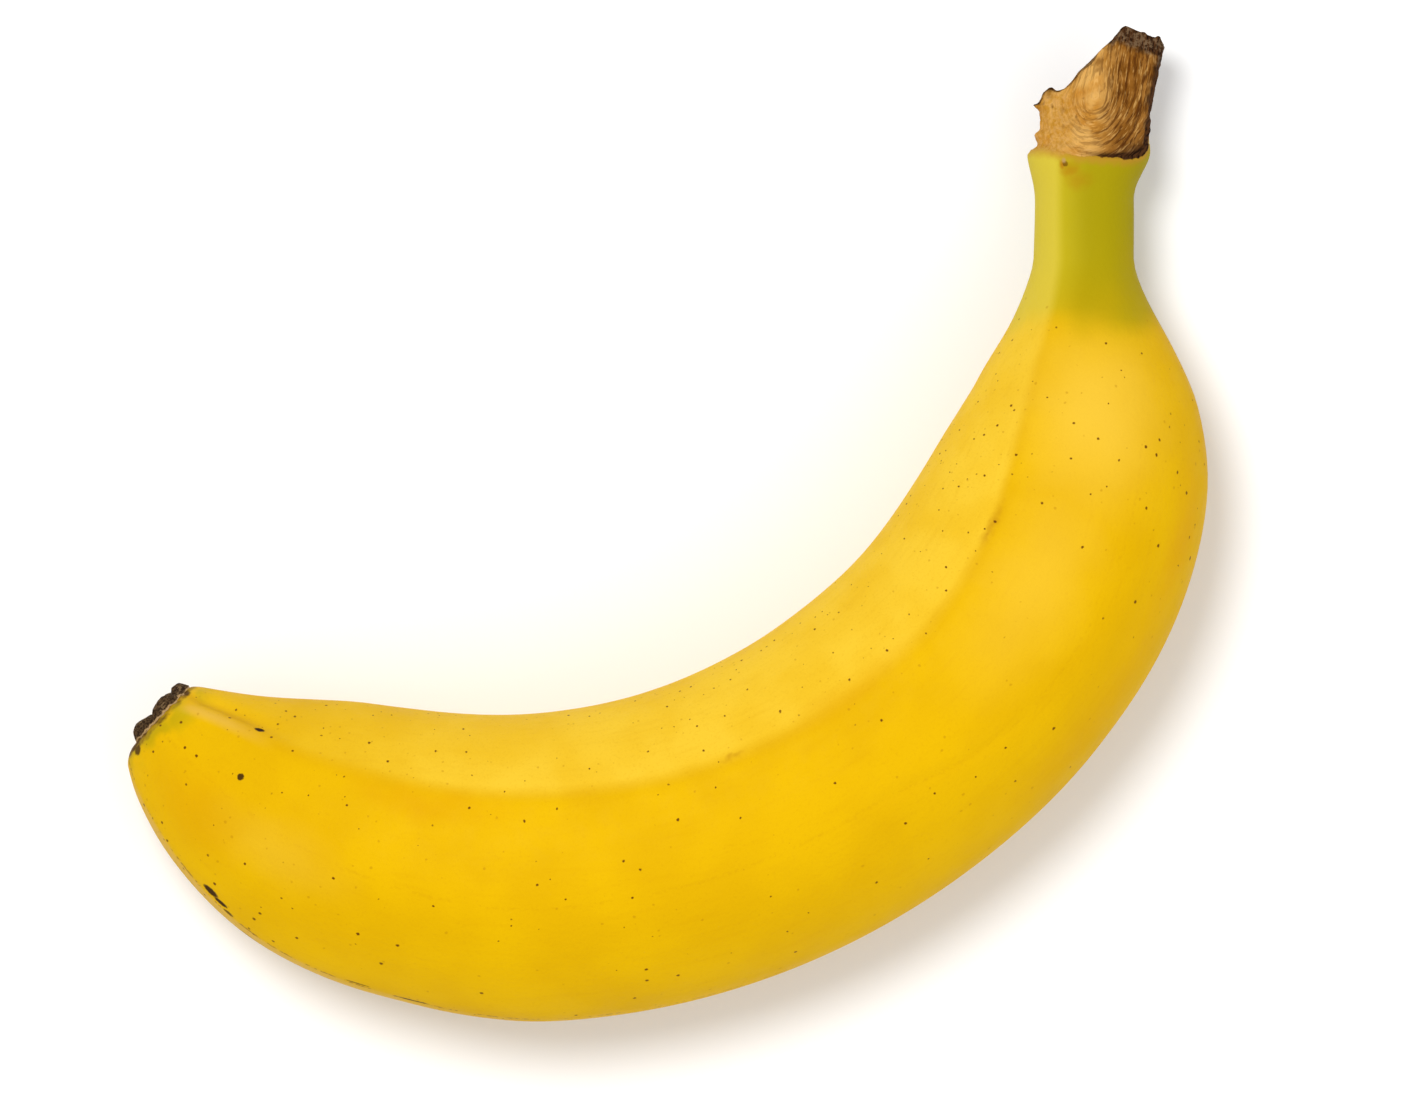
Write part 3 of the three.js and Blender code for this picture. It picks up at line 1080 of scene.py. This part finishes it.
def peel_material():
    """One material for the whole fruit: skin, crown and crust, told apart by the layers."""
    graph = Graph("ripe_peel")
    straight = graph.places("straight")
    fibres = graph.places("fibres")
    blemishes = blemish_mask(graph, wobbled_places(graph, straight, 0.3, 0.25), BLEMISHES, 0.75)
    wiggle = graph.ease(graph.noise(straight, 0.9, 3.0), 0.25, 0.75, -0.16, 0.16)
    past_end = graph.math("ADD", graph.layer("past_end"), wiggle)
    sharp = graph.ease(past_end, -0.08, 0.08)
    crown = graph.blend(graph.layer("grainy"), sharp, graph.ease(past_end, -0.6, 0.7))
    edge = graph.times(graph.ease(past_end, -1.3, -0.1), 0.65)

    skin = skin_colour(graph, straight, blemishes)
    skin = graph.mix(edge, skin, colour(176, 122, 42))
    final = graph.mix(crown, tip_parts(graph, straight, skin), crown_colour(graph, straight, fibres))
    graph.feed(graph.shader.inputs["Base Color"], final)

    station, _, _ = graph.parts(straight)
    dry = graph.math("MAXIMUM", crown, graph.ease(station, 0.0, 0.3, 1.0, 0.0))
    smooth = graph.ease(graph.noise(straight, 0.5, 3.0), 0.3, 0.7, 0.5, 0.6)
    graph.feed(graph.shader.inputs["Roughness"], graph.blend(dry, smooth, DRY_ROUGHNESS))
    graph.shader.inputs["Specular IOR Level"].default_value = PEEL_SPECULAR

    pores = graph.times(graph.noise(straight, 1.6, 3.0), 0.07)
    strands = graph.times(graph.noise(fibres, 3.4, 4.0, 0.65), 0.45)
    height = graph.blend(dry, pores, strands)
    height = graph.math("SUBTRACT", height, graph.times(blemishes, 0.08))
    bumps = graph.add(
        "ShaderNodeBump", {"Height": height, "Distance": MM, "Strength": BUMP_STRENGTH}
    )
    graph.feed(graph.shader.inputs["Normal"], bumps.outputs["Normal"])
    return graph.material


# ---------- the scene ----------
FLOOR_SIZE = 6
FLOOR_ALBEDO = 0.9
WORLD_STRENGTH = 0.64
# Each light's place from the fruit's middle, the size of its disk, and its power.
LIGHTS = {
    "key": ((-0.24, 0.27, 1.1), 0.42, 8.4),
    "fill": ((0.5, -0.45, 0.8), 0.8, 2.4),
}


def make_floor():
    bpy.ops.mesh.primitive_plane_add(size=FLOOR_SIZE, location=(0, 0, CAD_LOW.z))
    floor = bpy.context.object
    floor.name = "floor"
    graph = Graph("pale_floor")
    graph.shader.inputs["Base Color"].default_value = (FLOOR_ALBEDO, FLOOR_ALBEDO, FLOOR_ALBEDO, 1)
    graph.shader.inputs["Roughness"].default_value = 0.9
    graph.shader.inputs["Specular IOR Level"].default_value = 0.1
    floor.data.materials.append(graph.material)


def add_light(name, place_at, target, size, power):
    data = bpy.data.lights.new(name, "AREA")
    data.shape = "DISK"
    data.size = size
    data.energy = power
    light = bpy.data.objects.new(name, data)
    light.location = place_at
    light.rotation_euler = (Vector(target) - Vector(place_at)).to_track_quat("-Z", "Y").to_euler()
    bpy.context.scene.collection.objects.link(light)


def light_scene(middle):
    world = bpy.data.worlds.new("pale_studio")
    world.use_nodes = True
    background = world.node_tree.nodes["Background"]
    background.inputs["Color"].default_value = (1, 1, 1, 1)
    background.inputs["Strength"].default_value = WORLD_STRENGTH
    bpy.context.scene.world = world
    for name, (offset, size, power) in LIGHTS.items():
        add_light(name, middle + Vector(offset), middle, size, power)


# The picture's width over the fruit, and where the fruit's middle is from the picture's middle.
PICTURE_WIDTH = 171.5 * MM
FRUIT_LEFT = 4.4 * MM
FRUIT_ABOVE = 4.5 * MM
LENS = 300
SENSOR = 36


def add_camera(middle):
    data = bpy.data.cameras.new("camera")
    data.lens = LENS
    data.sensor_width = SENSOR
    data.clip_start = 0.01
    camera = bpy.data.objects.new("camera", data)
    distance = PICTURE_WIDTH * LENS / SENSOR
    camera.location = middle + Vector((FRUIT_LEFT, -FRUIT_ABOVE, distance))
    bpy.context.scene.collection.objects.link(camera)
    bpy.context.scene.camera = camera


fruit = make_fruit()
fruit.data.materials.append(peel_material())
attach(fruit, "root")
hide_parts("banana")

cad_middle = (CAD_LOW + CAD_HIGH) / 2
make_floor()
light_scene(cad_middle)
add_camera(cad_middle)
bpy.context.scene.view_settings.view_transform = "Standard"
